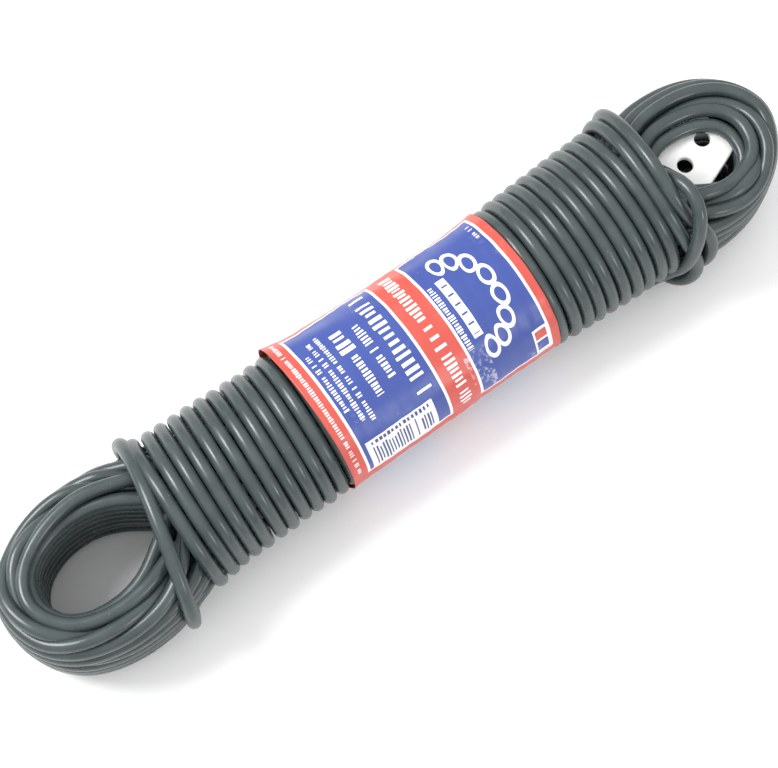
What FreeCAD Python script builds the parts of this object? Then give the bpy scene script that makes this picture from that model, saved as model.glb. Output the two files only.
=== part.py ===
import FreeCAD
import Part
import math
import os

from FreeCAD import Vector

# A 20 m hank of sheathed clothes line: long loops laid side by side and wrapped round their
# middle, with an eye of bare loops at each end, a paper band round the wrapping and a line
# tensioner tucked into the right eye. Millimetres. X runs along the hank, Z is up, and the
# origin lies on the ground under the middle of the hank.

# Line
LINE_DIAMETER = 4.0
LINE_RADIUS = LINE_DIAMETER / 2
CORE_DIAMETER = 2.4          # polypropylene core inside the sheath
CORE_PROUD = 0.4             # how far the core stands out of the sheath at a cut end
CORE_LENGTH = 3.0            # the stretch of core made as its own piece

# Hank body
BODY_HALF_WIDTH = 22.3       # outside the wrapping turns, at the left and the middle
BODY_HEIGHT = 39.6
RIGHT_HALF_WIDTH = 24.4      # the hank is fatter at its right end
RIGHT_HEIGHT = 42.4
GROUND_FLAT = 0.6            # how far the round section is pressed flat on the ground

# Wrapping turns, as distances along X
WRAP_LEFT = -74.0
WRAP_LEFT_SLANT = 1.7        # the far side of the first turn lies this much further right
BAND_LEFT = -31.7
BAND_RIGHT = 37.1
WRAP_RIGHT = 81.5
WRAP_RIGHT_SLANT = 2.5       # the same for the last turn

# Paper band
PAPER = 0.3
GLUE_WIDTH = 9.0
GLUE_HEIGHT = 14.0           # the glued lap lies round this height on the far side

# Eyes, with their outlines seen from above
EYE_HEIGHT = 31.5
EYE_EDGE = 5.0               # rounding of the edges of the bundle
LEFT_OUTER = [
    (-66, 18.5), (-80, 22.3), (-92, 24.2), (-104, 23.4), (-115, 20), (-123.4, 12), (-127.5, 0),
    (-125.6, -10), (-118.5, -19.2), (-107, -24.6), (-95, -26.1), (-82, -24.8), (-66, -18.5),
]
LEFT_INNER = [
    (-77.5, -0.5), (-84, 7), (-94, 10.9), (-104, 9.8), (-112.5, 4), (-114.5, -3), (-109, -10.4),
    (-99, -12.2), (-88, -8.8),
]
RIGHT_OUTER = [
    (72, 19.5), (88, 24.6), (100, 26.1), (112, 23.8), (122, 17.4), (127.5, 5), (124.3, -6.8),
    (117, -16.6), (105, -22.6), (90, -23.6), (72, -19.5),
]
RIGHT_INNER = [
    (87.5, -3), (94.5, 3.6), (101, 3.6), (107, 0.4), (108.2, -5.4), (104, -10.6), (96, -11.6),
    (90.5, -9.2),
]

# Loose turn beside the wrapping
LOOSE_X = -82.2
LOOSE_Y = -1.5
LOOSE_HALF_WIDTH = 24.4      # to the middle of the line
LOOSE_HALF_HEIGHT = 18.4
LOOSE_CORNER = 13.0
LOOSE_LEAN = 12.5            # degrees that the turn leans from square

# Line tensioner
PLATE_LENGTH = 23.0
PLATE_WIDTH = 18.0
PLATE_THICKNESS = 2.2
PLATE_CORNER = 6.0
PLATE_EDGE = 0.5
HOLE_DIAMETER = 4.5
HOLE_SPACING = 9.5
HOLE_LEAD = 0.3              # small chamfer round each hole
PLATE_PLACE = (99.4, -0.2, 24.0)
PLATE_ANGLE = 21.5
PLATE_CLEARANCE = 0.6
LIFT_ROOM = 40.0             # clear height above the tensioner as it lifts out

# End hitch on the near side of the right end, and the two cut ends of the line
HITCH_ROUTE = [
    (83.0, 3.0, 42.5), (85.6, -7.5, 40.6), (86.3, -16.5, 36.4), (85.4, -23.2, 29.0),
    (82.2, -25.9, 20.4), (78.0, -25.6, 12.0), (74.6, -22.0, 5.6),
]
TAIL_START = (77.0, -16.6, 2.1)
TAIL_END = (66.0, -16.6, 2.1)
START_FROM = (80.0, -3.0, 9.0)
START_END = (92.0, -3.0, 9.0)

FAR = 200.0                  # larger than the hank


def above(z):
    """All the room above a height."""
    return Part.makeBox(2 * FAR, 2 * FAR, FAR, Vector(-FAR, -FAR, z))


def oval(x, half_width, height, inset=0.0):
    """An upright oval across the hank at x, drawn in from the outside by inset."""
    half_height = (height + GROUND_FLAT) / 2
    centre = Vector(x, 0, height - half_height)
    side = centre + Vector(0, half_width - inset, 0)
    top = centre + Vector(0, 0, half_height - inset)
    if half_width >= half_height:
        curve = Part.Ellipse(side, top, centre)
    else:
        curve = Part.Ellipse(top, side, centre)
    return Part.Wire([curve.toShape()])


def straight(x_from, x_to, inset=0.0):
    """The left and middle part of the hank, which keeps one section."""
    face = Part.Face(oval(x_from, BODY_HALF_WIDTH, BODY_HEIGHT, inset))
    bar = face.extrude(Vector(x_to - x_from, 0, 0))
    return bar.common(above(inset))


def flared(inset=0.0):
    """The right part, which grows steadily from the body's section."""
    wires = [
        oval(BAND_RIGHT, BODY_HALF_WIDTH, BODY_HEIGHT, inset),
        oval(WRAP_RIGHT + WRAP_RIGHT_SLANT, RIGHT_HALF_WIDTH, RIGHT_HEIGHT, inset),
    ]
    return Part.makeLoft(wires, True, True).common(above(inset))


def flared_end():
    """The last stretch of the loops inside the right part, at its full size all the way."""
    end = WRAP_RIGHT + WRAP_RIGHT_SLANT
    face = Part.Face(oval(end, RIGHT_HALF_WIDTH, RIGHT_HEIGHT, LINE_DIAMETER))
    bar = face.extrude(Vector(-4 * WRAP_RIGHT_SLANT, 0, 0))
    return bar.common(above(LINE_DIAMETER))


def beyond(x, slant, side):
    """The room to the left (side -1) or right (side 1) of a plane that slants across the hank."""
    shift = slant * FAR / BODY_HALF_WIDTH
    outline = Part.makePolygon([
        Vector(x - shift, -FAR, -FAR),
        Vector(x + shift, FAR, -FAR),
        Vector(x + shift + side * 2 * FAR, FAR, -FAR),
        Vector(x - shift + side * 2 * FAR, -FAR, -FAR),
        Vector(x - shift, -FAR, -FAR),
    ])
    return Part.Face(outline).extrude(Vector(0, 0, 2 * FAR))


def smooth_outline(points):
    """A closed smooth outline in the ground plane through a few points."""
    curve = Part.BSplineCurve()
    curve.interpolate([Vector(x, y, 0) for x, y in points], PeriodicFlag=True)
    return Part.Wire([curve.toShape()])


def bundle(outer, inner, height):
    """A bundle of loops round an opening, with the edges of the bundle rounded."""
    ring = Part.Face(smooth_outline(outer)).extrude(Vector(0, 0, height))
    ring = ring.cut(Part.Face(smooth_outline(inner)).extrude(Vector(0, 0, height)))
    level = [edge for edge in ring.Edges if edge.BoundBox.ZLength < LINE_RADIUS]
    return ring.makeFillet(EYE_EDGE, level)


def route_edges(points, closed):
    """Straight runs joined by tangent arcs, each arc as large as its two runs allow."""
    places = [Vector(*place) for place in points]
    count = len(places)
    corners = range(count) if closed else range(1, count - 1)
    arcs = []
    for index in corners:
        corner = places[index]
        back = places[index - 1] - corner
        ahead = places[(index + 1) % count] - corner
        reach = 0.45 * min(back.Length, ahead.Length)
        start = corner + back.normalize() * reach
        end = corner + ahead.normalize() * reach
        half_turn = (math.pi - back.getAngle(ahead)) / 2
        radius = reach / math.tan(half_turn)
        bisector = (back + ahead).normalize()
        middle = corner + bisector * (radius / math.cos(half_turn) - radius)
        arcs.append((start, middle, end, radius))
    edges = []
    if not closed:
        edges.append(Part.LineSegment(places[0], arcs[0][0]).toShape())
    for index, (start, middle, end, radius) in enumerate(arcs):
        edges.append(Part.Arc(start, middle, end).toShape())
        if closed or index + 1 < len(arcs):
            edges.append(Part.LineSegment(end, arcs[(index + 1) % len(arcs)][0]).toShape())
    if not closed:
        edges.append(Part.LineSegment(arcs[-1][2], places[-1]).toShape())
    print("radii", [round(arc[3], 1) for arc in arcs])
    return edges


def line_tube(points, closed=False):
    """The line's own round section along a route."""
    edges = route_edges(points, closed)
    start = edges[0].Vertexes[0].Point
    direction = edges[0].tangentAt(edges[0].FirstParameter)
    ring = Part.Wire([Part.Circle(start, direction, LINE_RADIUS).toShape()])
    tube = Part.Wire(edges).makePipeShell([ring], True, False)
    length = sum(edge.Length for edge in edges)
    print("tube volume", round(tube.Volume), "section times length",
          round(math.pi * LINE_RADIUS ** 2 * length))
    return tube


def placed(shape, place, angle):
    """Turn a shape about Z, then move it."""
    shape.rotate(Vector(0, 0, 0), Vector(0, 0, 1), angle)
    shape.translate(Vector(*place))
    return shape


def loose_turn():
    """One closed turn that leans across the eye, like a rounded frame stood on its edge."""
    corner_y = LOOSE_HALF_WIDTH - LOOSE_CORNER
    corner_z = LOOSE_HALF_HEIGHT - LOOSE_CORNER
    middle_z = LOOSE_HALF_HEIGHT + LINE_RADIUS
    lean = math.tan(math.radians(LOOSE_LEAN))
    points = []
    for y, z in ((-corner_y, LOOSE_HALF_HEIGHT), (corner_y, LOOSE_HALF_HEIGHT),
                 (LOOSE_HALF_WIDTH, corner_z), (LOOSE_HALF_WIDTH, -corner_z),
                 (corner_y, -LOOSE_HALF_HEIGHT), (-corner_y, -LOOSE_HALF_HEIGHT),
                 (-LOOSE_HALF_WIDTH, -corner_z), (-LOOSE_HALF_WIDTH, corner_z)):
        points.append((LOOSE_X + y * lean, LOOSE_Y + y, middle_z + z))
    return line_tube(points, closed=True)


def plate_outline(grow=0.0):
    """The tensioner seen from above, centred on the origin."""
    half_length = PLATE_LENGTH / 2 + grow
    half_width = PLATE_WIDTH / 2 + grow
    block = Part.makeBox(2 * half_length, 2 * half_width, PLATE_THICKNESS,
                         Vector(-half_length, -half_width, 0))
    upright = [edge for edge in block.Edges if edge.BoundBox.ZLength > PLATE_THICKNESS / 2]
    return block.makeFillet(PLATE_CORNER + grow, upright)


def tensioner():
    plate = plate_outline()
    rims = [edge for edge in plate.Edges if edge.BoundBox.ZLength < PLATE_EDGE]
    plate = plate.makeFillet(PLATE_EDGE, rims)
    radius = HOLE_DIAMETER / 2
    for side in (-1, 1):
        x = side * HOLE_SPACING / 2
        plate = plate.cut(Part.makeCylinder(radius, PLATE_THICKNESS, Vector(x, 0, 0)))
        for z, low, high in ((0, radius + HOLE_LEAD, radius),
                             (PLATE_THICKNESS - HOLE_LEAD, radius, radius + HOLE_LEAD)):
            plate = plate.cut(Part.makeCone(low, high, HOLE_LEAD, Vector(x, 0, z)))
    return placed(plate, PLATE_PLACE, PLATE_ANGLE)


def tensioner_room():
    """The tensioner with running clearance, carried up out of the eye."""
    room = plate_outline(PLATE_CLEARANCE)
    top = room.Faces[0]
    for face in room.Faces:
        if face.CenterOfMass.z > top.CenterOfMass.z:
            top = face
    room = room.fuse(top.extrude(Vector(0, 0, LIFT_ROOM))).removeSplitter()
    return placed(room, PLATE_PLACE, PLATE_ANGLE)


def cut_end(start, end):
    """The sheath and the core of a cut end of the line: the core stands a little proud."""
    run = Vector(*end) - Vector(*start)
    direction = Vector(run).normalize()
    tip = Vector(*end)
    core_from = tip - direction * (CORE_LENGTH - CORE_PROUD)
    core = Part.makeCylinder(CORE_DIAMETER / 2, CORE_LENGTH, core_from, direction)
    sheath = Part.makeCylinder(LINE_RADIUS, run.Length, Vector(*start), direction)
    return sheath.cut(core), core


def build():
    """Every sub-part by name. Each solid is cut clear of the ones that lie inside it."""
    room = tensioner_room()
    loose = loose_turn()
    hitch = line_tube(HITCH_ROUTE)
    tail, tail_core = cut_end(TAIL_START, TAIL_END)
    start, start_core = cut_end(START_FROM, START_END)
    start_whole = start.fuse(start_core)

    loops_left = straight(WRAP_LEFT, BAND_RIGHT, LINE_DIAMETER)
    loops_right = flared(LINE_DIAMETER)
    loops = loops_left.fuse(loops_right).removeSplitter().cut(start_whole)

    first_turn = WRAP_LEFT - WRAP_LEFT_SLANT
    wrap_left = straight(first_turn, BAND_LEFT).cut(straight(first_turn, BAND_LEFT, LINE_DIAMETER))
    wrap_left = wrap_left.cut(beyond(WRAP_LEFT, WRAP_LEFT_SLANT, -1))
    wrap_right = flared().cut(loops_right).cut(beyond(WRAP_RIGHT, WRAP_RIGHT_SLANT, 1))

    band_inside = straight(BAND_LEFT, BAND_RIGHT, PAPER)
    band = straight(BAND_LEFT, BAND_RIGHT).cut(band_inside)
    strip = Part.makeBox(2 * FAR, BODY_HALF_WIDTH, GLUE_WIDTH,
                         Vector(-FAR, 0, GLUE_HEIGHT - GLUE_WIDTH / 2))
    glue = band_inside.cut(straight(BAND_LEFT, BAND_RIGHT, 2 * PAPER)).common(strip)
    wrap_middle = band_inside.cut(straight(BAND_LEFT, BAND_RIGHT, LINE_DIAMETER)).cut(glue)

    eye_left = bundle(LEFT_OUTER, LEFT_INNER, EYE_HEIGHT)
    eye_left = eye_left.common(beyond(WRAP_LEFT, WRAP_LEFT_SLANT, -1))
    for neighbour in (loops_left, loose):
        eye_left = eye_left.cut(neighbour)
    eye_right = bundle(RIGHT_OUTER, RIGHT_INNER, EYE_HEIGHT)
    eye_right = eye_right.common(beyond(WRAP_RIGHT, WRAP_RIGHT_SLANT, 1))
    for neighbour in (flared_end(), room, hitch, start_whole):
        eye_right = eye_right.cut(neighbour)

    return {
        "line_loops": loops,
        "line_eye_left": eye_left,
        "line_eye_right": eye_right,
        "line_wrap_left": wrap_left,
        "line_wrap_middle": wrap_middle,
        "line_wrap_right": wrap_right,
        "line_loose_turn": loose,
        "line_end_hitch": hitch,
        "line_tail_sheath": tail,
        "line_tail_core": tail_core,
        "line_start_sheath": start,
        "line_start_core": start_core,
        "label_band": band,
        "label_glue_strip": glue,
        "line_tensioner": tensioner(),
    }


os.makedirs("parts", exist_ok=True)
for name, shape in build().items():
    print(name, "solids", len(shape.Solids), "valid", shape.isValid(), "mm3", round(shape.Volume))
    shape.exportStep("parts/" + name + ".step")
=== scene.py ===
import math

import bmesh
import bpy
import numpy as np
from mathutils import Matrix, Vector


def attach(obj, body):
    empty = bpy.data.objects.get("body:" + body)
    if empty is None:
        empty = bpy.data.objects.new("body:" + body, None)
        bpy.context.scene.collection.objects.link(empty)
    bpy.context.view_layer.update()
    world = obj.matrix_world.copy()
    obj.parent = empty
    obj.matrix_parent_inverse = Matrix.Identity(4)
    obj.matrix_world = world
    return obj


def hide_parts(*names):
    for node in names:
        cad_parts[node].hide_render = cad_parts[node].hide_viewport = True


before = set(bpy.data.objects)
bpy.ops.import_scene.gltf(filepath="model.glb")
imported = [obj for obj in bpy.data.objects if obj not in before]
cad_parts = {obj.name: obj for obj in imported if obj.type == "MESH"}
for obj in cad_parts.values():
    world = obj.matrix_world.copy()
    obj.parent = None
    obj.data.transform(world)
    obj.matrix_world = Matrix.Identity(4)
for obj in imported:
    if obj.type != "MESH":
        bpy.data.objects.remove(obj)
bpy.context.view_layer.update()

# A 20 m hank of grey clothes line with a paper band and a white line tensioner. Metres.
# One spline holds the whole line: the long loops, the turns round them and the end hitch.

rng = np.random.default_rng(20)

# Line
LINE = 0.004
SKIN_GAP = 0.00006             # the surface stops this far short, so neighbouring turns stay apart
LEAD_IN = [(0.092, -0.003, 0.009), (0.086, -0.003, 0.009), (0.080, -0.0032, 0.009)]

# Loops
LOOPS = 27
COLUMNS = 4
HALF_GAP = 0.002             # the two sides of the loops meet at the middle of the body
BODY_X = (-0.062, -0.040, -0.010, 0.020, 0.050, 0.072)

# Turns round the loops
TURNS = 38
TURN_POINTS = 16
PITCH = 0.004049
FIRST_TOP = -0.0741
LOOSE_TOP = -0.0820
SPLINE_SWELL = 1.019         # a quadratic spline runs inside its points
LEAD_SHIFT = 0.009           # the line comes to its loose turn from under the first tight ones
SLIP = 0.00010               # how far single turns stray along the hank, in width, in height and in lean
UNEVEN_WIDTH = 0.00014
UNEVEN_HEIGHT = 0.00015
TILT = 0.0002
LOOSE_SLACK = 0.0038
WAIST_X = 0.004              # the band pinches the far side of the turns here
PINCH = 0.0010

BAND_LEFT = -0.0317
BAND_RIGHT = 0.0371


def ramp(value, low, high):
    """0 below low, 1 above high, and straight between them."""
    return min(max((value - low) / (high - low), 0.0), 1.0)


def lerp(a, b, share):
    return a + (b - a) * share


# ---------------------------------------------------------------- loops

# Left eye, from the near side of the body round to the far side: inner and outer middle lines,
# seen from above, of the strands at each station.
LEFT_EYE = [
    ((-0.0750, -0.0020), (-0.0745, -0.0190)),
    ((-0.0825, -0.0062), (-0.0805, -0.0215)),
    ((-0.0905, -0.0118), (-0.0900, -0.0236)),
    ((-0.0990, -0.0141), (-0.1030, -0.0240)),
    ((-0.1078, -0.0133), (-0.1152, -0.0203)),
    ((-0.1142, -0.0096), (-0.1226, -0.0126)),
    ((-0.1172, -0.0034), (-0.1256, -0.0026)),
    ((-0.1162, 0.0030), (-0.1238, 0.0071)),
    ((-0.1120, 0.0083), (-0.1161, 0.0141)),
    ((-0.1040, 0.0117), (-0.1064, 0.0187)),
    ((-0.0940, 0.0119), (-0.0956, 0.0203)),
    ((-0.0850, 0.0082), (-0.0862, 0.0200)),
    ((-0.0755, 0.0020), (-0.0755, 0.0193)),
]
# Right eye, from the far side of the body round to the near side.
RIGHT_EYE = [
    ((0.0850, 0.0035), (0.0850, 0.0199)),
    ((0.0915, 0.0060), (0.0938, 0.0216)),
    ((0.0980, 0.0060), (0.1044, 0.0211)),
    ((0.1035, 0.0048), (0.1137, 0.0180)),
    ((0.1078, 0.0022), (0.1210, 0.0119)),
    ((0.1097, -0.0014), (0.1247, 0.0036)),
    ((0.1100, -0.0055), (0.1238, -0.0040)),
    ((0.1088, -0.0100), (0.1180, -0.0128)),
    ((0.1045, -0.0133), (0.1100, -0.0183)),
    ((0.0985, -0.0136), (0.1010, -0.0210)),
    ((0.0920, -0.0105), (0.0920, -0.0216)),
    ((0.0850, -0.0060), (0.0845, -0.0212)),
]
EYE_MIDDLE = 0.0164
EYE_HALF = 0.0144
EYE_POWER = 2.5
EYE_RIDGE = 0.42             # the highest strands lie nearer the opening than the outside


def body_section(x):
    """Half width, half height and middle height of the loops inside the turns."""
    share = ramp(x, BAND_RIGHT, 0.084)
    return lerp(0.0163, 0.0184, share), lerp(0.0141, 0.0155, share), lerp(0.0195, 0.0209, share)


def make_stations():
    """Every place along one loop where its strands are laid out, in the line's own order."""
    rows = []

    def body(x, side):
        wide, high, middle = body_section(x)
        rows.append(((x, side * HALF_GAP), (x, side * wide), -HALF_GAP, wide, middle, high, 2))

    def eye(pairs):
        for inner, outer in pairs:
            wide = math.dist(inner, outer)
            rows.append((inner, outer, wide * EYE_RIDGE, wide * (1 - EYE_RIDGE), EYE_MIDDLE,
                         EYE_HALF, EYE_POWER))

    for x in reversed(BODY_X):
        body(x, -1)
    eye(LEFT_EYE)
    for x in BODY_X:
        body(x, 1)
    eye(RIGHT_EYE)
    return rows


STATIONS = make_stations()
INNER = np.array([row[0] for row in STATIONS])
OUTER = np.array([row[1] for row in STATIONS])
WIDTH = np.linalg.norm(OUTER - INNER, axis=1)
MID_U, HALF_U, MID_Z, HALF_Z, POWER = (np.array([row[k] for row in STATIONS]) for k in range(2, 7))
NEAR_BODY = len(BODY_X)
COUNT = len(STATIONS)


def cell(loop):
    """A loop's first place in the section: across and up, each from 0 to 1, row by row."""
    row, column = divmod(loop, COLUMNS)
    if row % 2:
        column = COLUMNS - 1 - column
    rows = math.ceil(LOOPS / COLUMNS)
    shift = 0.12 if row % 2 else -0.12
    return (column + 0.5 + shift) / COLUMNS, (row + 0.5) / rows


def wander():
    """A slow random drift along one loop."""
    places = np.arange(COUNT) / COUNT * 2 * math.pi
    total = np.zeros(COUNT)
    for wave in (1, 2, 3):
        total += rng.normal() / wave * np.sin(wave * places + rng.uniform(0, 2 * math.pi))
    return total


def first_layout():
    """Where each loop's strands start, before they are pushed apart."""
    across = np.zeros((LOOPS + 1, COUNT))
    up = np.zeros((LOOPS + 1, COUNT))
    for loop in range(LOOPS):
        here, before = cell(loop), cell(max(loop - 1, 0))
        for station in range(COUNT):
            share = ramp(station, 0, NEAR_BODY)
            across[loop, station] = lerp(before[0], here[0], share)
            up[loop, station] = lerp(before[1], here[1], share)
        across[loop] += 0.10 * wander()
        up[loop] += 0.06 * wander()
    # the last pass runs down the outside of the near half, towards the first turn
    for station in range(COUNT):
        across[LOOPS, station] = 1.0
        up[LOOPS, station] = lerp(0.75, 0.12, ramp(station, 0, NEAR_BODY - 1))
    return across, up


def lay_loops():
    """Push the strands of every station apart, keeping each loop smooth and in its section."""
    across, up = first_layout()
    used = np.ones((LOOPS + 1, COUNT), dtype=bool)
    used[LOOPS, NEAR_BODY:] = False
    both = used[:, None, :] & used[None, :, :]
    both &= ~np.eye(LOOPS + 1, dtype=bool)[:, :, None]
    u = across * WIDTH
    z = MID_Z + (2 * up - 1) * HALF_Z
    rounds = 240
    for step in range(rounds):
        for _ in range(2):
            du = u[:, None, :] - u[None, :, :]
            dz = z[:, None, :] - z[None, :, :]
            apart = np.sqrt(du ** 2 + dz ** 2) + 1e-7
            push = np.where(both, np.clip(LINE * 1.01 - apart, 0, None), 0) / apart * 0.35
            u = u + (push * du).sum(axis=1)
            z = z + (push * dz).sum(axis=1)
        smooth = 0.22 if step < rounds * 0.6 else 0.06
        chain_u = (u / WIDTH)[:LOOPS].ravel()
        chain_z = ((z - MID_Z) / HALF_Z)[:LOOPS].ravel()
        for chain in (chain_u, chain_z):
            chain[1:-1] += smooth * (chain[:-2] + chain[2:] - 2 * chain[1:-1])
        u[:LOOPS] = chain_u.reshape(LOOPS, COUNT) * WIDTH
        z[:LOOPS] = MID_Z + chain_z.reshape(LOOPS, COUNT) * HALF_Z
        reach = np.abs((u - MID_U) / HALF_U) ** POWER + np.abs((z - MID_Z) / HALF_Z) ** POWER
        reach = reach ** (1 / POWER)
        pull = 1 / np.maximum(reach, 1)
        u = MID_U + (u - MID_U) * pull
        z = MID_Z + (z - MID_Z) * pull
        u = np.clip(u, 0, None)
    return u, z


def place(u, z, station):
    """A strand's point in the row frame."""
    share = u / WIDTH[station]
    x, y = lerp(INNER[station], OUTER[station], share)
    return np.array([x, y, max(z, LINE / 2)])


def between(points):
    """The points with one more in the middle of each gap, on a smooth line through them."""
    dense = [points[0]]
    for index in range(len(points) - 1):
        before = points[max(index - 1, 0)]
        after = points[min(index + 2, len(points) - 1)]
        here, there = points[index], points[index + 1]
        dense.append((9 * (here + there) - before - after) / 16)
        dense.append(there)
    return dense


def loop_points():
    u, z = lay_loops()
    points = []
    for loop in range(LOOPS + 1):
        stations = range(COUNT) if loop < LOOPS else range(NEAR_BODY)
        points += [place(u[loop, s], z[loop, s], s) for s in stations]
    return between(points)


# ---------------------------------------------------------------- turns

def turn_section(x):
    """Half width, half height and middle height of the turns' middle line."""
    half_width = np.interp(x, (-0.082, -0.075, -0.068, -0.032, 0.037, 0.041, 0.060, 0.082),
                           (0.0214, 0.0213, 0.0205, 0.0195, 0.0190, 0.0203, 0.0212, 0.0222))
    height = np.interp(x, (-0.074, -0.032, 0.037, 0.041, 0.082),
                       (0.0396, 0.0386, 0.0386, 0.0398, 0.0424))
    return half_width, (height + 0.0004) / 2 - LINE / 2, (height - 0.0004) / 2


def turn_points():
    """The loose turn and the tight turns, each from under the body round to under it again."""
    points = []
    total = (TURNS + 1) * TURN_POINTS
    jitter = rng.normal(size=(TURNS + 3, 4))
    for step in range(total):
        turn = step / TURN_POINTS - 1            # -1 is under the loose turn, 0 under the first tight one
        angle = 2 * math.pi * (turn - math.floor(turn)) - math.pi / 2
        since_top = turn - 0.5                   # whole numbers are at the tops
        if since_top < 0:
            top_x = lerp(LOOSE_TOP, FIRST_TOP, since_top + 1)
        else:
            top_x = FIRST_TOP + PITCH * since_top
        loose = 1 - ramp(turn, -0.25, 0.35)
        along = ramp(turn, 0, TURNS)
        lean = lerp(lerp(0.0021, 0.0009, along), 0.0071, loose)
        bow = lerp(0.0004 + 0.0013 * (2 * along - 1) ** 2, -0.0019, loose)
        row = int(math.floor(turn)) + 1
        slip, wide, high, tilt = (lerp(jitter[row, k], jitter[row + 1, k], turn - math.floor(turn))
                                  for k in range(4))
        x = top_x + LEAD_SHIFT * (1 - ramp(turn, -1, -0.75)) + SLIP * slip
        x += (lean + TILT * tilt) * math.cos(angle) - bow * math.sin(angle)
        half_width, half_height, middle = turn_section(x)
        half_width += UNEVEN_WIDTH * wide + LOOSE_SLACK * loose
        half_height += UNEVEN_HEIGHT * high
        half_width -= PINCH * max(math.cos(angle), 0) * math.exp(-((x - WAIST_X) / 0.013) ** 2)
        y = half_width * SPLINE_SWELL * math.cos(angle) - 0.0014 * loose - 0.0006 * (1 - ramp(turn, 0, 3))
        z = middle + half_height * SPLINE_SWELL * math.sin(angle)
        points.append(np.array([x, y, max(z, LINE / 2)]))
    return points


# The hitch at the right end: the last two turns cross under it, and the end is drawn up through
# the throat, over both and down the near side to the cut end.
HITCH = [
    (0.0786, 0.0050, 0.0020), (0.0792, 0.0125, 0.0046), (0.0796, 0.0190, 0.0108),
    (0.0798, 0.0222, 0.0200), (0.0799, 0.0218, 0.0290), (0.0795, 0.0180, 0.0350),
    (0.0789, 0.0125, 0.0390), (0.0785, 0.0065, 0.0409), (0.0781, 0.0005, 0.0413),
    (0.0778, -0.0055, 0.0406), (0.0777, -0.0105, 0.0388), (0.0781, -0.0150, 0.0360),
    (0.0790, -0.0195, 0.0310), (0.0806, -0.0228, 0.0255), (0.0822, -0.0248, 0.0200),
    (0.0820, -0.0258, 0.0140), (0.0804, -0.0247, 0.0088), (0.0789, -0.0216, 0.0048),
    (0.0780, -0.0170, 0.0024), (0.0780, -0.0110, 0.0020), (0.0788, -0.0030, 0.0020),
    (0.0808, 0.0060, 0.0020), (0.0830, 0.0145, 0.0042), (0.0846, 0.0208, 0.0100),
    (0.0850, 0.0238, 0.0190), (0.0845, 0.0235, 0.0275), (0.0834, 0.0198, 0.0344),
    (0.0826, 0.0130, 0.0396), (0.0819, 0.0060, 0.0422), (0.0813, -0.0003, 0.0433),
    (0.0808, -0.0058, 0.0427), (0.0808, -0.0102, 0.0408), (0.0814, -0.0140, 0.0376),
    (0.0828, -0.0172, 0.0338), (0.0850, -0.0200, 0.0312), (0.0866, -0.0228, 0.0274),
    (0.0868, -0.0249, 0.0222), (0.0856, -0.0250, 0.0165), (0.0840, -0.0225, 0.0115),
    (0.0834, -0.0180, 0.0075), (0.0842, -0.0120, 0.0055), (0.0858, -0.0060, 0.0080),
    (0.0868, -0.0015, 0.0150), (0.0864, 0.0005, 0.0240), (0.0854, -0.0005, 0.0315),
    (0.0845, -0.0035, 0.0368), (0.0842, -0.0068, 0.0398), (0.0848, -0.0100, 0.0415),
    (0.0849, -0.0140, 0.0420), (0.0842, -0.0180, 0.0410), (0.0827, -0.0215, 0.0375),
    (0.0808, -0.0238, 0.0318), (0.0792, -0.0246, 0.0250), (0.0783, -0.0236, 0.0180),
    (0.0774, -0.0212, 0.0120), (0.0752, -0.0190, 0.0070), (0.0725, -0.0175, 0.0036),
    (0.0692, -0.0168, 0.0022), (0.0660, -0.0166, 0.0021),
]


def make_line():
    """The whole line as one smooth spline."""
    to_turns = [np.array(p) for p in ((-0.070, -0.0130, 0.0060), (-0.0765, -0.0100, 0.0034))]
    points = [np.array(p) for p in LEAD_IN] + loop_points() + to_turns + turn_points()
    points += [np.array(p) for p in HITCH]
    curve = bpy.data.curves.new("clothes_line", "CURVE")
    curve.dimensions = "3D"
    spline = curve.splines.new("NURBS")
    spline.points.add(len(points) - 1)
    for target, point in zip(spline.points, points):
        target.co = (*point, 1)
    spline.order_u = 3
    spline.use_endpoint_u = True
    spline.resolution_u = 4
    curve.bevel_depth = LINE / 2 - SKIN_GAP
    curve.bevel_resolution = 6
    curve.use_fill_caps = True
    line = bpy.data.objects.new("clothes_line", curve)
    bpy.context.collection.objects.link(line)
    return line


# ---------------------------------------------------------------- materials

class Value:
    """A number worked out by nodes, so that a pattern reads as plain sums."""

    def __init__(self, tree, socket):
        self.tree = tree
        self.socket = socket

    def math(self, operation, *others):
        node = self.tree.nodes.new("ShaderNodeMath")
        node.operation = operation
        for target, item in zip(node.inputs, (self, *others)):
            if isinstance(item, Value):
                self.tree.links.new(item.socket, target)
            else:
                target.default_value = item
        return Value(self.tree, node.outputs[0])

    def __add__(self, other):
        return self.math("ADD", other)

    def __sub__(self, other):
        return self.math("SUBTRACT", other)

    def __mul__(self, other):
        return self.math("MULTIPLY", other)

    def __truediv__(self, other):
        return self.math("DIVIDE", other)

    def __gt__(self, other):
        return self.math("GREATER_THAN", other)

    def __lt__(self, other):
        return self.math("LESS_THAN", other)

    def most(self, other):
        return self.math("MAXIMUM", other)

    def span(self, low, high, out_low=0.0, out_high=1.0):
        """Carry low..high to out_low..out_high, and stop at both ends."""
        node = self.tree.nodes.new("ShaderNodeMapRange")
        for target, item in zip(node.inputs, (self.socket, low, high, out_low, out_high)):
            if isinstance(item, bpy.types.NodeSocket):
                self.tree.links.new(item, target)
            else:
                target.default_value = item
        return Value(self.tree, node.outputs[0])


def inside(value, low, high):
    """1 between low and high, otherwise 0."""
    return (value > low) * (value < high)


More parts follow.
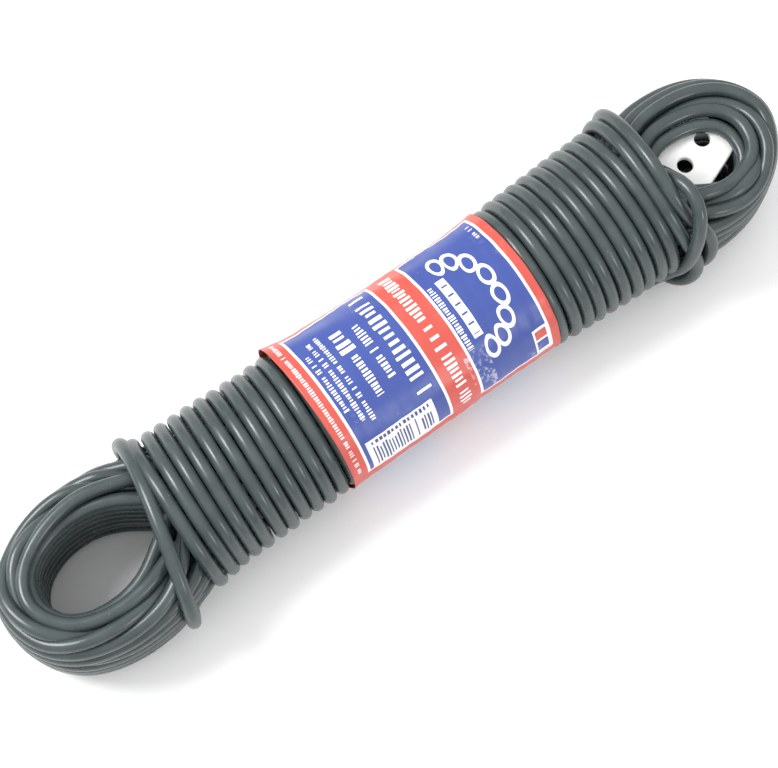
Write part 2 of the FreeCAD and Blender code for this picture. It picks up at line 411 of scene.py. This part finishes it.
def paint(tree, under, over, mask):
    """One colour over another where the mask is 1. Colours are sockets or plain tuples."""
    node = tree.nodes.new("ShaderNodeMix")
    node.data_type = "RGBA"
    tree.links.new(mask.socket, node.inputs["Factor"])
    for target, colour in zip((node.inputs[6], node.inputs[7]), (under, over)):
        if isinstance(colour, tuple):
            target.default_value = (*colour, 1)
        else:
            tree.links.new(colour, target)
    return node.outputs[2]


def noise(tree, scale, detail=3.0, stretch=(1, 1, 1)):
    """Noise from 0 to 1 in the piece's own metres."""
    coordinates = tree.nodes.new("ShaderNodeTexCoord")
    mapping = tree.nodes.new("ShaderNodeMapping")
    mapping.inputs["Scale"].default_value = stretch
    texture = tree.nodes.new("ShaderNodeTexNoise")
    texture.inputs["Scale"].default_value = scale
    texture.inputs["Detail"].default_value = detail
    tree.links.new(coordinates.outputs["Object"], mapping.inputs["Vector"])
    tree.links.new(mapping.outputs["Vector"], texture.inputs["Vector"])
    return Value(tree, texture.outputs["Fac"])


def specks(tree, scale, size, share):
    """Small round specks: 1 within size of a cell's point, in that share of the cells."""
    coordinates = tree.nodes.new("ShaderNodeTexCoord")
    texture = tree.nodes.new("ShaderNodeTexVoronoi")
    texture.inputs["Scale"].default_value = scale
    tree.links.new(coordinates.outputs["Object"], texture.inputs["Vector"])
    split = tree.nodes.new("ShaderNodeSeparateColor")
    tree.links.new(texture.outputs["Color"], split.inputs["Color"])
    chosen = Value(tree, split.outputs[0]) < share
    return (Value(tree, texture.outputs["Distance"]) < size) * chosen


def bump(tree, shader, height, distance, strength=1.0):
    node = tree.nodes.new("ShaderNodeBump")
    node.inputs["Distance"].default_value = distance
    node.inputs["Strength"].default_value = strength
    tree.links.new(height.socket, node.inputs["Height"])
    tree.links.new(node.outputs["Normal"], shader.inputs["Normal"])


def new_material(name):
    material = bpy.data.materials.new(name)
    material.use_nodes = True
    tree = material.node_tree
    return material, tree, tree.nodes["Principled BSDF"]


SHEATH_DARK = (0.040, 0.054, 0.055)
SHEATH_LIGHT = (0.054, 0.070, 0.071)
DUST = (0.30, 0.31, 0.30)


def sheath_material():
    """Extruded PVC: satin, slightly uneven in gloss, with a little dust on it."""
    material, tree, shader = new_material("pvc_sheath")
    mottle = noise(tree, 130, 4)
    colour = paint(tree, SHEATH_DARK, SHEATH_LIGHT, mottle.span(0.35, 0.65))
    colour = paint(tree, colour, DUST, specks(tree, 520, 0.07, 0.16) * 0.55)
    tree.links.new(colour, shader.inputs["Base Color"])
    gloss = noise(tree, 260, 3).span(0.3, 0.7, 0.22, 0.33)
    tree.links.new(gloss.socket, shader.inputs["Roughness"])
    bump(tree, shader, noise(tree, 220, 2), 0.00008, 0.35)
    return material


def core_material():
    """Cut fibres of the core."""
    material, tree, shader = new_material("core_fibre")
    fibre = noise(tree, 2500, 2, (0.1, 1, 1))
    colour = paint(tree, (0.62, 0.61, 0.57), (0.85, 0.84, 0.80), fibre.span(0.35, 0.65))
    tree.links.new(colour, shader.inputs["Base Color"])
    tree.links.new(fibre.span(0.3, 0.7, 0.55, 0.8).socket, shader.inputs["Roughness"])
    bump(tree, shader, fibre, 0.0002)
    return material


def glue_material():
    """Dried hot glue: pale, cloudy and glossy."""
    material, tree, shader = new_material("hot_glue")
    cloud = noise(tree, 500, 3)
    colour = paint(tree, (0.62, 0.54, 0.33), (0.80, 0.75, 0.58), cloud.span(0.35, 0.65))
    tree.links.new(colour, shader.inputs["Base Color"])
    tree.links.new(cloud.span(0.3, 0.7, 0.18, 0.36).socket, shader.inputs["Roughness"])
    bump(tree, shader, cloud, 0.0003)
    return material


def tensioner_material():
    """Glossy white moulded plastic with faint flow marks and a few scuffs."""
    material, tree, shader = new_material("white_plastic")
    flow = noise(tree, 180, 3, (1, 2.5, 1))
    colour = paint(tree, (0.80, 0.81, 0.79), (0.88, 0.885, 0.87), flow.span(0.35, 0.65))
    colour = paint(tree, colour, (0.60, 0.60, 0.58), specks(tree, 700, 0.06, 0.10) * 0.5)
    tree.links.new(colour, shader.inputs["Base Color"])
    tree.links.new(flow.span(0.3, 0.7, 0.16, 0.28).socket, shader.inputs["Roughness"])
    bump(tree, shader, noise(tree, 420, 2), 0.00008)
    return material


# ---------------------------------------------------------------- printed paper band

RED = (0.56, 0.078, 0.058)
BLUE = (0.040, 0.072, 0.300)
WHITE = (0.82, 0.82, 0.83)
INK = (0.05, 0.06, 0.20)
MILLIMETRE = 0.001

PRINT_FAR = -22.4            # the front's panels lie between these, round from the top, in millimetres
PRINT_NEAR = 31.0
FRAME_LINE = 0.8             # white line round each panel
LEFT_STRIP = -27.0
CROSS_LEFT = 1.0
CROSS_RIGHT = 10.4
RIGHT_STRIP = 34.6


def word_blocks(tree, along, across, first, last, middle, height, cell_size, seed):
    """A row of small blocks of uneven width and height, in place of a line of print."""
    step = (along - first) / cell_size
    number = step.math("FLOOR")
    within = step.math("FRACT")
    picks = []
    for shift in (0.0, 31.7, 63.1):
        texture = tree.nodes.new("ShaderNodeTexWhiteNoise")
        texture.noise_dimensions = "1D"
        tree.links.new((number + seed + shift).socket, texture.inputs["W"])
        picks.append(Value(tree, texture.outputs["Value"]))
    gap = picks[0] > 0.10
    wide = inside(within, 0.12, picks[1].span(0, 1, 0.52, 0.84))
    reach = picks[2].span(0, 1, 0.31, 0.50) * height
    tall = (across - middle).math("ABSOLUTE") < reach
    return gap * wide * tall * inside(along, first, last)


# Lines of print on the front, in millimetres: from and to along the hank, then first, last,
# middle, height, size of one block, and seed.
PRINT_ROWS = [
    (-31.2, -27.5, -22.0, 28.0, -29.4, 1.5, 0.78, 9.0), (-25.9, -23.3, -9.5, 9.5, -24.6, 1.6, 0.86, 61.0),
    (-23.3, -20.9, -13.5, 13.5, -22.1, 1.6, 0.86, 57.0), (-20.9, -18.2, -14.0, 15.0, -19.6, 1.6, 0.86, 43.0),
    (-18.0, -11.8, -11.5, -3.2, -14.9, 5.2, 2.05, 24.0), (-11.6, -7.1, -9.5, 8.5, -9.4, 2.8, 1.12, 11.0),
    (-6.8, -1.2, -19.0, 16.5, -4.0, 4.8, 2.15, 3.0), (2.8, 8.4, -20.0, 29.0, 5.6, 3.8, 1.50, 83.0),
    (10.9, 13.9, -6.0, 14.5, 12.4, 1.9, 0.88, 71.0), (31.0, 33.8, -17.5, -11.0, 32.4, 1.4, 0.90, 17.0),
]
ROW_SPAN = 100.0             # scales that carry the rows' numbers through a ramp from 0 to 1
ROW_SIZE = 10.0


def row_numbers(tree, x, picked):
    """Three numbers of the print row at x, read from steps along the hank."""
    node = tree.nodes.new("ShaderNodeValToRGB")
    steps = node.color_ramp
    steps.interpolation = "CONSTANT"
    steps.elements.remove(steps.elements[1])
    steps.elements[0].color = (0, 0, 0, 1)
    for row in PRINT_ROWS:
        for edge, numbers in ((row[0], picked(row)), (row[1], (0, 0, 0))):
            place_on = (edge - BAND_LEFT / MILLIMETRE) / BAND_PRINT_WIDTH
            element = steps.elements.new(place_on)
            element.color = (*numbers, 1)
    share = (x - BAND_LEFT / MILLIMETRE) / BAND_PRINT_WIDTH
    tree.links.new(share.socket, node.inputs["Fac"])
    split = tree.nodes.new("ShaderNodeSeparateColor")
    tree.links.new(node.outputs["Color"], split.inputs["Color"])
    return [Value(tree, socket) for socket in split.outputs]


def front_words(tree, x, v):
    """All lines of print on the front in one pattern."""
    first, last, middle = row_numbers(
        tree, x, lambda row: [number / ROW_SPAN + 0.5 for number in row[2:5]])
    height, size, seed = row_numbers(
        tree, x, lambda row: (row[5] / ROW_SIZE, row[6] / ROW_SIZE, row[7] / ROW_SPAN))
    words = word_blocks(tree, v, x, (first - 0.5) * ROW_SPAN, (last - 0.5) * ROW_SPAN,
                        (middle - 0.5) * ROW_SPAN, height * ROW_SIZE,
                        (size * ROW_SIZE).most(0.5), seed * ROW_SPAN)
    return words * (height > 0.01)


def coil_emblem(tree, x, v):
    """A bow of small rings, like turns of line laid side by side."""
    off_x = (x - 18.6) / 8.6
    off_v = (v - 3.0) / 14.0
    far = (off_x * off_x + off_v * off_v).math("SQRT")
    step = off_v.math("ARCTAN2", off_x) / math.radians(27)
    along = (step.math("FRACT") - 0.5) * 5.3
    radial = (far - 1) * 10.5
    ring = ((along * along + radial * radial).math("SQRT") - 2.25).math("ABSOLUTE") < 0.52
    return ring * (step.math("ABSOLUTE") < 4.0)


def panel(x, v, x_low, x_high, v_low, v_high):
    return inside(x, x_low, x_high) * inside(v, v_low, v_high)


def band_material():
    """Coated paper printed in red and blue, with generic marks where a maker's words would be."""
    material, tree, shader = new_material("printed_paper")
    coordinates = tree.nodes.new("ShaderNodeUVMap")
    coordinates.uv_map = "print"
    split = tree.nodes.new("ShaderNodeSeparateXYZ")
    tree.links.new(coordinates.outputs["UV"], split.inputs["Vector"])
    x = Value(tree, split.outputs["X"]) * BAND_PRINT_WIDTH + BAND_LEFT / MILLIMETRE
    v = Value(tree, split.outputs["Y"]) * BAND_PAPER_LENGTH + BAND_LAP_AT

    colour = RED
    for low, high in ((PRINT_FAR, PRINT_NEAR), (PRINT_NEAR + 5, BAND_LAP_AT + BAND_PAPER_LENGTH - 13)):
        for left, right in ((LEFT_STRIP, CROSS_LEFT), (CROSS_RIGHT, RIGHT_STRIP)):
            colour = paint(tree, colour, WHITE, panel(x, v, left, right, low, high))
            inner = panel(x, v, left + FRAME_LINE, right - FRAME_LINE, low + FRAME_LINE, high - FRAME_LINE)
            colour = paint(tree, colour, BLUE, inner)
    colour = paint(tree, colour, WHITE, front_words(tree, x, v))
    colour = paint(tree, colour, WHITE, word_blocks(tree, v, x, -2.0, 10.5, -14.6, 2.6, 1.1, 31.0))
    colour = paint(tree, colour, WHITE, coil_emblem(tree, x, v))
    # a plank with notches, and a small swatch by the right border
    colour = paint(tree, colour, WHITE, panel(x, v, 14.6, 17.4, -6.5, 12.5))
    notches = panel(x, (v / 3.1).math("FRACT"), 15.1, 16.9, 0.62, 0.80) * inside(v, -5.5, 11.5)
    colour = paint(tree, colour, BLUE, notches)
    colour = paint(tree, colour, WHITE, panel(x, v, 29.2, 34.0, 20.5, 30.0))
    colour = paint(tree, colour, RED, panel(x, v, 29.8, 33.4, 21.4, 24.6))
    colour = paint(tree, colour, BLUE, panel(x, v, 29.8, 33.4, 25.4, 29.0))
    # bar block along the near edge
    colour = paint(tree, colour, WHITE, panel(x, v, -25.0, -3.6, 19.4, PRINT_NEAR))
    bars = word_blocks(tree, x, v, -23.6, -5.0, 26.0, 8.4, 0.95, 5.0)
    digits = word_blocks(tree, x, v, -23.6, -5.0, 20.7, 1.5, 1.28, 25.0)
    colour = paint(tree, colour, INK, bars.most(digits) * inside(v, 19.6, 29.6))
    # lines of small print on the back
    line_step = x / 3.1
    small = word_blocks(tree, v, line_step.math("FRACT"), 44.0, 82.0, 0.5, 0.5, 1.3,
                        line_step.math("FLOOR") * 7.0)
    colour = paint(tree, colour, WHITE, small * inside(x, -24.0, -3.0))
    # scuffs where the ink has rubbed off
    rub = noise(tree, 700, 5).span(0.50, 0.60) * noise(tree, 90, 2).span(0.42, 0.55)
    far_patch = panel(x, v, 10.4, 17.5, -24.0, -13.0)
    near_patch = panel(x, v, 9.0, 16.0, 15.0, 31.0)
    faint = noise(tree, 60, 3).span(0.60, 0.72) * 0.25
    worn = (rub * far_patch.most(near_patch) * 0.55).most(rub * faint)
    colour = paint(tree, colour, (0.66, 0.67, 0.72), worn)
    tree.links.new(colour, shader.inputs["Base Color"])
    gloss = noise(tree, 150, 3).span(0.3, 0.7, 0.30, 0.42)
    tree.links.new(gloss.socket, shader.inputs["Roughness"])
    bump(tree, shader, noise(tree, 1400, 3) * 0.25 + noise(tree, 110, 2), 0.0003, 0.5)
    return material


BAND_PRINT_WIDTH = (BAND_RIGHT - BAND_LEFT) / MILLIMETRE
BAND_LAP_AT = -43.7          # the hidden end of the paper, round from the top on the far side
BAND_LAP = 10.0
BAND_HALF_WIDTH = 0.0216
BAND_HALF_HEIGHT = 0.0196
BAND_MIDDLE = 0.0197
PAPER = 0.00022


def band_section():
    """Angles round the band and the distance to each from the top, in metres."""
    angles = np.linspace(-math.pi, 2 * math.pi, 3001)
    y = -BAND_HALF_WIDTH * np.sin(angles)
    z = BAND_HALF_HEIGHT * np.cos(angles)
    steps = np.hypot(np.diff(y), np.diff(z))
    walked = np.concatenate([[0], np.cumsum(steps)])
    walked -= np.interp(0, angles, walked)
    return angles, walked


SECTION_ANGLES, SECTION_WALK = band_section()
BAND_ROUND = np.interp(2 * math.pi, SECTION_ANGLES, SECTION_WALK) / MILLIMETRE
BAND_PAPER_LENGTH = BAND_ROUND + BAND_LAP


def waves(seed, count, longest):
    """A fixed set of gentle plane waves, for creases in the paper."""
    source = np.random.default_rng(seed)
    return [(source.uniform(0, 2 * math.pi), longest / (1 + index * 0.6), source.uniform(0, 2 * math.pi))
            for index in range(count)]


def make_band():
    """The paper band: one sheet wrapped round the turns, with a glued lap on the far side."""
    columns, rows = 172, 300
    creases = waves(7, 7, 0.034)
    verts, faces, uvs = [], [], []
    for row in range(rows + 1):
        v = BAND_LAP_AT + BAND_PAPER_LENGTH * row / rows
        angle = float(np.interp(v * MILLIMETRE, SECTION_WALK, SECTION_ANGLES))
        lap = ramp(v, BAND_LAP_AT + BAND_ROUND - 3, BAND_LAP_AT + BAND_ROUND + 1)
        for column in range(columns + 1):
            share = column / columns
            x = lerp(BAND_LEFT, BAND_RIGHT, share)
            crest = FIRST_TOP + PITCH * angle / (2 * math.pi) - 0.0029 * math.sin(angle)
            out = 0.00004 * math.cos(2 * math.pi * (x - crest) / PITCH)
            for turn, length, phase in creases:
                way = x * math.cos(turn) + v * MILLIMETRE * math.sin(turn)
                out += 0.00005 * math.sin(2 * math.pi * way / length + phase)
            waist = math.exp(-((x - WAIST_X) / 0.010) ** 2) * math.exp(-((v + 30) / 9) ** 2)
            out -= 0.0005 * waist
            edges = (0.0003 * math.exp(-(x - BAND_LEFT) / 0.0015)
                     + 0.0002 * math.exp(-(BAND_RIGHT - x) / 0.0012))
            out += edges
            far_edge = math.exp(-((v + 24) / 9) ** 2)
            out += far_edge * 0.0013 * math.exp(-((x - BAND_LEFT) / 0.006) ** 2)
            out += far_edge * 0.0009 * math.exp(-((BAND_RIGHT - x) / 0.006) ** 2)
            out += lap * 0.00095
            wide = BAND_HALF_WIDTH + lerp(0.0002, -0.0003, share) + out
            high = BAND_HALF_HEIGHT + out
            z = BAND_MIDDLE + high * math.cos(angle)
            verts.append((x, -wide * math.sin(angle), max(z, PAPER)))
            uvs.append((share, row / rows))
    wide_row = columns + 1
    for row in range(rows):
        for column in range(columns):
            first = row * wide_row + column
            faces.append((first, first + wide_row, first + wide_row + 1, first + 1))
    mesh = bpy.data.meshes.new("paper_band")
    mesh.from_pydata(verts, [], faces)
    layer = mesh.uv_layers.new(name="print")
    for loop in mesh.loops:
        layer.data[loop.index].uv = uvs[loop.vertex_index]
    mesh.shade_smooth()
    band = bpy.data.objects.new("paper_band", mesh)
    bpy.context.collection.objects.link(band)
    thick = band.modifiers.new("thickness", "SOLIDIFY")
    thick.thickness = PAPER
    thick.offset = -1
    mesh.materials.append(band_material())
    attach(band, "hank")
    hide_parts("label_band")
    return band


# ---------------------------------------------------------------- line tensioner

PLATE_PLACE = (0.0994, -0.0002, 0.0240)
PLATE_TURN = math.radians(21.5)
PLATE_LENGTH = 0.023
PLATE_WIDTH = 0.018
PLATE_THICKNESS = 0.0022
PLATE_CORNER = 0.006
PLATE_EDGE = 0.0006
HOLE_RADIUS = 0.00225
HOLE_SPACING = 0.0095


def closed_outline(curve, points):
    spline = curve.splines.new("POLY")
    spline.points.add(len(points) - 1)
    for target, (x, y) in zip(spline.points, points):
        target.co = (x, y, 0, 1)
    spline.use_cyclic_u = True


def arc(centre, radius, first, last, count):
    """Points on an arc, with its angles in degrees."""
    return [(centre[0] + radius * math.cos(math.radians(lerp(first, last, step / (count - 1)))),
             centre[1] + radius * math.sin(math.radians(lerp(first, last, step / (count - 1)))))
            for step in range(count)]


def make_tensioner():
    """The moulded plate with two holes, its edges rounded over."""
    curve = bpy.data.curves.new("tensioner_plate", "CURVE")
    curve.dimensions = "2D"
    curve.fill_mode = "BOTH"
    corner = PLATE_CORNER - PLATE_EDGE
    reach_x = PLATE_LENGTH / 2 - PLATE_CORNER
    reach_y = PLATE_WIDTH / 2 - PLATE_CORNER
    outline = []
    for side_x, side_y, start in ((1, 1, 0), (-1, 1, 90), (-1, -1, 180), (1, -1, 270)):
        outline += arc((side_x * reach_x, side_y * reach_y), corner, start, start + 90, 24)
    closed_outline(curve, outline)
    for side in (-1, 1):
        centre = (side * HOLE_SPACING / 2, 0)
        closed_outline(curve, arc(centre, HOLE_RADIUS + PLATE_EDGE, 0, 354, 60))
    curve.extrude = PLATE_THICKNESS / 2 - PLATE_EDGE
    curve.bevel_depth = PLATE_EDGE
    curve.bevel_resolution = 5
    shape = bpy.data.objects.new("tensioner_shape", curve)
    bpy.context.collection.objects.link(shape)
    bpy.context.view_layer.update()
    mesh = bpy.data.meshes.new_from_object(shape)
    bpy.data.objects.remove(shape)
    bpy.data.curves.remove(curve)
    turned = Matrix.Translation(Vector(PLATE_PLACE) + Vector((0, 0, PLATE_THICKNESS / 2)))
    mesh.transform(turned @ Matrix.Rotation(PLATE_TURN, 4, "Z"))
    merge = bmesh.new()
    merge.from_mesh(mesh)
    bmesh.ops.remove_doubles(merge, verts=merge.verts, dist=0.000002)
    bmesh.ops.recalc_face_normals(merge, faces=merge.faces)
    merge.to_mesh(mesh)
    merge.free()
    mesh.shade_smooth()
    mesh.set_sharp_from_angle(angle=math.radians(40))
    mesh.materials.append(tensioner_material())
    plate = bpy.data.objects.new("tensioner_plate", mesh)
    bpy.context.collection.objects.link(plate)
    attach(plate, "tensioner")
    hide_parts("line_tensioner")
    return plate


# ---------------------------------------------------------------- stage

TARGET = Vector((-0.00785, -0.0043, 0.020))
CAMERA_AZIMUTH = math.radians(35.8)
CAMERA_DIP = math.radians(71)
CAMERA_DISTANCE = 0.535
LENS = 91.85


def make_camera():
    data = bpy.data.cameras.new("camera")
    data.lens = LENS
    data.sensor_width = 36
    data.clip_start = 0.01
    camera = bpy.data.objects.new("camera", data)
    forward = Vector((math.sin(CAMERA_AZIMUTH) * math.cos(CAMERA_DIP),
                      math.cos(CAMERA_AZIMUTH) * math.cos(CAMERA_DIP),
                      -math.sin(CAMERA_DIP)))
    camera.location = TARGET - forward * CAMERA_DISTANCE
    camera.rotation_euler = forward.to_track_quat("-Z", "Y").to_euler()
    bpy.context.collection.objects.link(camera)
    bpy.context.scene.camera = camera


def make_floor():
    mesh = bpy.data.meshes.new("floor")
    half = 9.0
    mesh.from_pydata([(-half, -half, 0), (half, -half, 0), (half, half, 0), (-half, half, 0)],
                     [], [(0, 1, 2, 3)])
    floor = bpy.data.objects.new("floor", mesh)
    bpy.context.collection.objects.link(floor)
    material, tree, shader = new_material("floor_white")
    shader.inputs["Base Color"].default_value = (0.93, 0.93, 0.93, 1)
    shader.inputs["Roughness"].default_value = 0.9
    mesh.materials.append(material)


def area_light(name, place, aim, size, power, colour=(1, 1, 1)):
    data = bpy.data.lights.new(name, "AREA")
    data.shape = "DISK"
    data.size = size
    data.energy = power
    data.color = colour
    light = bpy.data.objects.new(name, data)
    light.location = place
    light.rotation_euler = (Vector(aim) - Vector(place)).to_track_quat("-Z", "Y").to_euler()
    bpy.context.collection.objects.link(light)


HORIZON_LIGHT = 0.55
ZENITH_LIGHT = 1.20


def make_lights():
    world = bpy.data.worlds.new("soft_white")
    world.use_nodes = True
    tree = world.node_tree
    background = tree.nodes["Background"]
    background.inputs["Color"].default_value = (1, 1, 1, 1)
    coordinates = tree.nodes.new("ShaderNodeTexCoord")
    split = tree.nodes.new("ShaderNodeSeparateXYZ")
    tree.links.new(coordinates.outputs["Generated"], split.inputs["Vector"])
    up = Value(tree, split.outputs["Z"]).span(0.0, 0.8, HORIZON_LIGHT, ZENITH_LIGHT)
    tree.links.new(up.socket, background.inputs["Strength"])
    bpy.context.scene.world = world
    area_light("key", (-0.45, 0.45, 0.75), (0, 0, 0.02), 0.45, 8)
    area_light("window", (0.25, -0.95, 0.50), (0, 0, 0.02), 0.30, 2)
    bpy.context.scene.view_settings.view_transform = "Standard"


# ---------------------------------------------------------------- assembly

make_camera()
make_floor()
make_lights()

line = make_line()
line.data.materials.append(sheath_material())
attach(line, "hank")
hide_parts("line_loops", "line_eye_left", "line_eye_right", "line_wrap_left",
            "line_wrap_middle", "line_wrap_right", "line_loose_turn", "line_end_hitch",
            "line_tail_sheath", "line_start_sheath")

make_band()
make_tensioner()
for node, material in (("line_start_core", core_material()), ("line_tail_core", core_material()),
                       ("label_glue_strip", glue_material())):
    solid = bpy.data.objects[node]
    solid.data.materials.clear()
    solid.data.materials.append(material)
